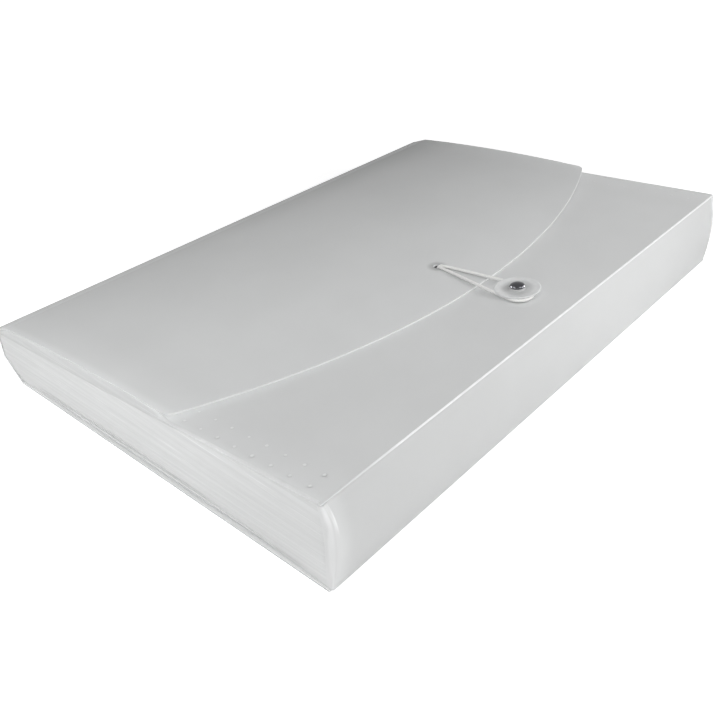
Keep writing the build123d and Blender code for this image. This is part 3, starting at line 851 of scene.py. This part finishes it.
# %% Lay out the elastic's route
ELASTIC_ROUTE = [
    (0.00080, -0.03760, 0.03990),
    (0.00080, -0.03765, 0.04095),
    (0.00090, -0.03850, 0.04180),
    (0.00780, -0.08700, 0.04240),
    (0.00520, -0.09200, 0.04262),
    (-0.00080, -0.09450, 0.04270),
    (-0.00680, -0.09260, 0.04262),
    (-0.00870, -0.08680, 0.04240),
    (-0.00090, -0.03850, 0.04180),
    (-0.00080, -0.03765, 0.04095),
    (-0.00080, -0.03760, 0.03990),
]


def smooth_line(points, resolution):
    """Points along a smooth curve that the route's points steer."""
    data = bpy.data.curves.new("route", "CURVE")
    data.dimensions = "3D"
    data.resolution_u = resolution
    spline = data.splines.new("NURBS")
    spline.points.add(len(points) - 1)
    for control, point in zip(spline.points, points):
        control.co = (*point, 1)
    spline.order_u = 3
    spline.use_endpoint_u = True
    carrier = bpy.data.objects.new("route", data)
    bpy.context.scene.collection.objects.link(carrier)
    line = bpy.data.meshes.new_from_object(carrier)
    found = [vertex.co.copy() for vertex in line.vertices]
    bpy.data.objects.remove(carrier)
    return found


def cord_tube(name, line, radius, sides):
    """A round tube along a line, with the length and the way round as its own coordinates."""
    vertices, lengths, travelled = [], [], 0.0
    across = Vector((0, 0, 1)).cross(line[1] - line[0])
    across = Vector((1, 0, 0)) if across.length < 1e-9 else across.normalized()
    for i, point in enumerate(line):
        before, after = line[max(i - 1, 0)], line[min(i + 1, len(line) - 1)]
        ahead = (after - before).normalized()
        across = (across - ahead * across.dot(ahead)).normalized()
        above = ahead.cross(across)
        travelled += (point - before).length if i else 0
        lengths.append(travelled)
        for k in range(sides):
            turn = 2 * math.pi * k / sides
            vertices.append(point + radius * (math.cos(turn) * across + math.sin(turn) * above))
    faces, places = [], []
    for i in range(len(line) - 1):
        for k in range(sides):
            n = (k + 1) % sides
            faces.append((i * sides + k, i * sides + n, (i + 1) * sides + n, (i + 1) * sides + k))
            girth = 2 * math.pi * radius / sides
            places += [(lengths[j] / MM, m * girth / MM) for j, m in
                       ((i, k), (i, k + 1), (i + 1, k + 1), (i + 1, k))]
    last = (len(line) - 1) * sides
    faces += [tuple(range(sides))[::-1], tuple(range(last, last + sides))]
    places += [(0, 0)] * (2 * sides)
    mesh = bpy.data.meshes.new(name)
    mesh.from_pydata(vertices, [], faces)
    layer = mesh.uv_layers.new(name="UVMap")
    for loop, place in zip(layer.data, places):
        loop.uv = place
    piece = bpy.data.objects.new(name, mesh)
    bpy.context.scene.collection.objects.link(piece)
    deselect()
    piece.select_set(True)
    bpy.context.view_layer.objects.active = piece
    bpy.ops.object.mode_set(mode="EDIT")
    bpy.ops.mesh.select_all(action="SELECT")
    bpy.ops.mesh.normals_make_consistent(inside=False)
    bpy.ops.object.mode_set(mode="OBJECT")
    bpy.ops.object.shade_smooth_by_angle(angle=math.radians(60))
    return piece


elastic_line = smooth_line(ELASTIC_ROUTE, 10)
elastic = cord_tube("elastic_cord", elastic_line, CORD_DIAMETER / 2, 12)
finish_piece(elastic, elastic_white, "flap", ["elastic_loop"])
elastic_length = sum((b - a).length for a, b in zip(elastic_line, elastic_line[1:]))
print("elastic length in mm:", round(elastic_length / MM, 1))

# %% [markdown]
# ## Button
# The button is a dished disc on a boss, moulded in one piece, with a soft bead round its rim. It is
# a turned shape, so half of its outline is drawn beside the axis, point by point, and spun. Rounded
# edges matter here, because they catch the light as a thin ring. The moulding is as clear to light
# as the flap is, so it stays out of the lamps' shadows too.

# %% Model the button
BORE = 1.75
BOSS = 6.5
DISC = 11.4
UNDERSIDE = 2.65
BUTTON_OUTLINE = [
    (BORE, 0.2), (BOSS - 0.3, 0.2), (BOSS, 0.5), (BOSS, UNDERSIDE - 0.3), (BOSS + 0.3, UNDERSIDE),
    (DISC - 1.2, 2.95), (DISC - 0.45, 3.05), (DISC - 0.1, 3.3), (DISC, 3.6), (DISC - 0.1, 3.9),
    (DISC - 0.45, 4.08), (DISC - 0.9, 4.05), (DISC - 1.35, 3.88), (BOSS + 1.0, 3.62), (BOSS - 0.6, 3.47),
    (4.4, 3.42), (4.1, 3.5), (3.9, 3.75), (3.75, 4.2), (3.6, 4.35), (BORE + 0.15, 4.35), (BORE, 4.25),
]
HEAD = 3.75
RIVET_OUTLINE = [
    (1.1, -1.5), (1.25, -1.7), (1.75, -1.8), (2.25, -1.7), (2.4, -1.5), (2.3, -1.31), (1.6, -1.31), (1.6, 4.42),
    (HEAD - 0.3, 4.42), (HEAD, 4.5), (HEAD + 0.03, 4.68), (HEAD - 0.12, 5.0), (3.3, 5.45), (2.6, 5.88),
    (1.7, 6.2), (0.8, 6.36), (0.0, 6.4), (0.0, 5.6), (1.1, 5.3),
]


def turned_piece(name, outline, steps):
    """Draws an outline of (radius, height) in mm as a line of points and spins it round Z."""
    deselect()
    bpy.ops.mesh.primitive_plane_add(size=MM)
    piece = bpy.context.object
    piece.name = piece.data.name = name
    bpy.ops.object.mode_set(mode="EDIT")
    bpy.ops.mesh.select_all(action="SELECT")
    bpy.ops.mesh.merge(type="CENTER")
    here = Vector((outline[0][0] * MM, 0, outline[0][1] * MM))
    bpy.ops.transform.translate(value=here)
    for radius, height in outline[1:] + outline[:1]:
        there = Vector((radius * MM, 0, height * MM))
        bpy.ops.mesh.extrude_region_move(TRANSFORM_OT_translate={"value": there - here})
        here = there
    bpy.ops.mesh.select_all(action="SELECT")
    bpy.ops.mesh.spin(steps=steps, angle=2 * math.pi, center=(0, 0, 0), axis=(0, 0, 1))
    bpy.ops.mesh.select_all(action="SELECT")
    bpy.ops.mesh.remove_doubles(threshold=0.002 * MM)
    bpy.ops.mesh.normals_make_consistent(inside=False)
    bpy.ops.object.mode_set(mode="OBJECT")
    bpy.ops.object.shade_smooth_by_angle(angle=math.radians(50))
    return piece


button = turned_piece("button_disc_moulding", BUTTON_OUTLINE, 72)
button.data.transform(Matrix.Translation(BUTTON) @ cover_tilt)
button.visible_shadow = False
finish_piece(button, button_plastic, "button", ["button_disc"])
rivet = turned_piece("rivet_with_domed_head", RIVET_OUTLINE, 64)
rivet.data.transform(Matrix.Translation(BUTTON) @ cover_tilt)
# The rivet's dark colour is a painted reflection of dark surroundings.
finish_piece(rivet, nickel, "front", ["button_rivet"])
print("button faces:", len(button.data.polygons), "rivet faces:", len(rivet.data.polygons))

# %% [markdown]
# ## Floor and light
# The picture is a product shot on pure white. The floor is a wide pale plane that keeps the file's
# soft shadow. The sky is even, as inside a light tent, and soft lamps stand close round the file, in
# front and on the left, so the top gets darker towards the far corner, as in the picture. Only what
# the camera, reflections and clear parts see of the surroundings is lifted to white, so the object
# isn't lit by it. The lift is weaker near the file, where the shadow falls. Two small cards give the
# rivet its glints, and light linking keeps them off the sheet.

# %% Make the floor, the sky and the lamps
FLOOR_SIZE = 6.0
FLOOR_TONE = "#F2F2F2"
LIFT_NEAR = 0.5
LIFT_FAR = 0.95
LIFT_REACH = (0.22, 0.42)
SKY_LEVEL = 0.07
LAMP_SIZE = 0.3
LAMPS = (
    ("near_corner_lamp", (-0.5, -0.45, 0.3), 0.6),
    ("front_high_lamp", (0.0, -0.48, 0.57), 1.47),
    ("front_right_lamp", (0.32, -0.56, 0.37), 2.45),
    ("left_low_lamp", (-0.65, 0.0, 0.37), 1.1),
    ("left_high_lamp", (-0.42, 0.24, 0.57), 1.83),
)
CARD_SIZE = 0.25
CARD_WATTS = 6.0
CARDS = (("left_card", (-0.2, 0.6, 0.2)), ("right_card", (0.6, -0.36, 0.14)))
deselect()
bpy.ops.mesh.primitive_plane_add(size=FLOOR_SIZE, location=(0, 0, -0.05 * MM))
floor = bpy.context.object
floor.name = "floor"


def empty_tree(owner):
    """Turns nodes on for a material or a world, and clears them."""
    owner.use_nodes = True
    owner.node_tree.nodes.clear()
    return owner.node_tree


def seen_directly(tree):
    """1 for what the camera sees, also in a reflection or through a clear part, and 0 for light."""
    ray = add_node(tree, "LightPath").outputs
    seen = add_node(tree, "Math", {0: ray["Is Camera Ray"], 1: ray["Is Glossy Ray"]}, operation="MAXIMUM").outputs[0]
    return add_node(tree, "Math", {0: seen, 1: ray["Is Transmission Ray"]}, operation="MAXIMUM").outputs[0]


floor_material = bpy.data.materials.new("white_paper_floor")
tree = empty_tree(floor_material)
place = add_node(tree, "TexCoord").outputs["Object"]
away = add_node(tree, "VectorMath", {0: place}, operation="LENGTH").outputs["Value"]
amount = soft_mask(tree, away, *LIFT_REACH, LIFT_NEAR, LIFT_FAR)
lift = add_node(tree, "Math", {0: seen_directly(tree), 1: amount}, operation="MULTIPLY").outputs[0]
paper = add_node(tree, "BsdfDiffuse", {"Color": linear(FLOOR_TONE)}).outputs[0]
glow = add_node(tree, "Emission", {"Strength": lift}).outputs[0]
both = add_node(tree, "AddShader", {0: paper, 1: glow}).outputs[0]
add_node(tree, "OutputMaterial", {"Surface": both})
floor.data.materials.append(floor_material)

world = bpy.data.worlds.new("light_tent")
bpy.context.scene.world = world
tree = empty_tree(world)
level = add_node(tree, "MapRange", {"Value": seen_directly(tree), "To Min": SKY_LEVEL, "To Max": 1.0}).outputs[0]
sky = add_node(tree, "Background", {"Color": linear("#FFFFFF"), "Strength": level}).outputs[0]
add_node(tree, "OutputWorld", {"Surface": sky})


def softbox(name, place, size, watts):
    """A square lamp turned to the middle of the file. The camera doesn't see it."""
    data = bpy.data.lights.new(name, "AREA")
    data.size = size
    data.energy = watts
    lamp = bpy.data.objects.new(name, data)
    bpy.context.scene.collection.objects.link(lamp)
    lamp.location = place
    lamp.rotation_euler = (-Vector(place)).to_track_quat("-Z", "Y").to_euler()
    lamp.visible_camera = False
    return lamp


for name, place, watts in LAMPS:
    softbox(name, place, LAMP_SIZE, watts)
shiny_parts = bpy.data.collections.new("shiny_parts")
shiny_parts.objects.link(rivet)
for name, place in CARDS:
    softbox(name, place, CARD_SIZE, CARD_WATTS).light_linking.receiver_collection = shiny_parts
bpy.context.scene.view_settings.view_transform = "Standard"
